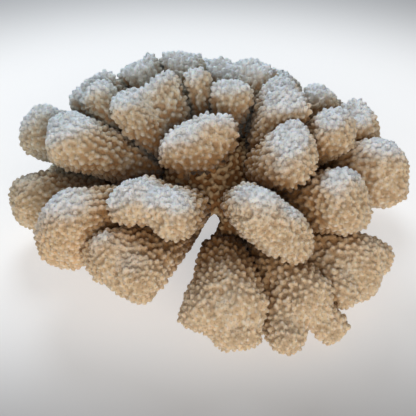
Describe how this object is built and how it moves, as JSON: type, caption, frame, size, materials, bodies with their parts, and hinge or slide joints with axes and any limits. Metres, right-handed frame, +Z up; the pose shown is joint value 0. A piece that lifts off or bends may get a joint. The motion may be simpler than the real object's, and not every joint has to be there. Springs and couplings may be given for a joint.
{
  "type": "cauliflower coral skeleton",
  "caption": "Domed cauliflower coral skeleton with stubby wart-covered lobes radiating from a fused heart, cut flat underneath; a free-standing decorative natural object.",
  "frame": {"origin": "middle of the colony as seen from above, on the plane of the flat cut that it stands on", "axes": "+Z up out of the flat cut through the crown, +X to the right and -Y towards the viewer of the picture"},
  "size_m": [0.1774, 0.1606, 0.0787],
  "materials": {
    "coral_skeleton": "matt chalky stone, cream with pale tips and amber crevices",
    "coral_base": "matt porous stone, amber brown, rough where it was cut"
  },
  "bodies": {
    "root": {"base": "coral_base", "branch_left_low": "coral_skeleton", "branch_left_outer": "coral_skeleton", "branch_left_upper": "coral_skeleton", "branch_left_front": "coral_skeleton", "branch_front_left_low": "coral_skeleton", "branch_front_left": "coral_skeleton", "branch_front_right": "coral_skeleton", "branch_front_low": "coral_skeleton", "branch_front_right_low": "coral_skeleton", "branch_right_low": "coral_skeleton", "branch_right_inner": "coral_skeleton", "branch_right": "coral_skeleton", "branch_right_outer": "coral_skeleton", "branch_right_rear": "coral_skeleton", "branch_right_upper": "coral_skeleton", "branch_top_right": "coral_skeleton", "branch_top_front": "coral_skeleton", "branch_top_left": "coral_skeleton", "branch_top": "coral_skeleton", "branch_top_inner": "coral_skeleton", "branch_top_rear": "coral_skeleton", "branch_rear_left": "coral_skeleton", "branch_rear_left_outer": "coral_skeleton", "branch_left_rear": "coral_skeleton", "branch_left_inner": "coral_skeleton", "branch_top_right_rear": "coral_skeleton", "branch_rear_right": "coral_skeleton", "branch_back_left_low": "coral_skeleton", "branch_back_left": "coral_skeleton", "branch_back": "coral_skeleton", "branch_back_low": "coral_skeleton", "branch_back_right": "coral_skeleton", "branch_back_right_low": "coral_skeleton", "branch_right_back": "coral_skeleton", "branch_left_back_low": "coral_skeleton"}
  },
  "joints": []
}
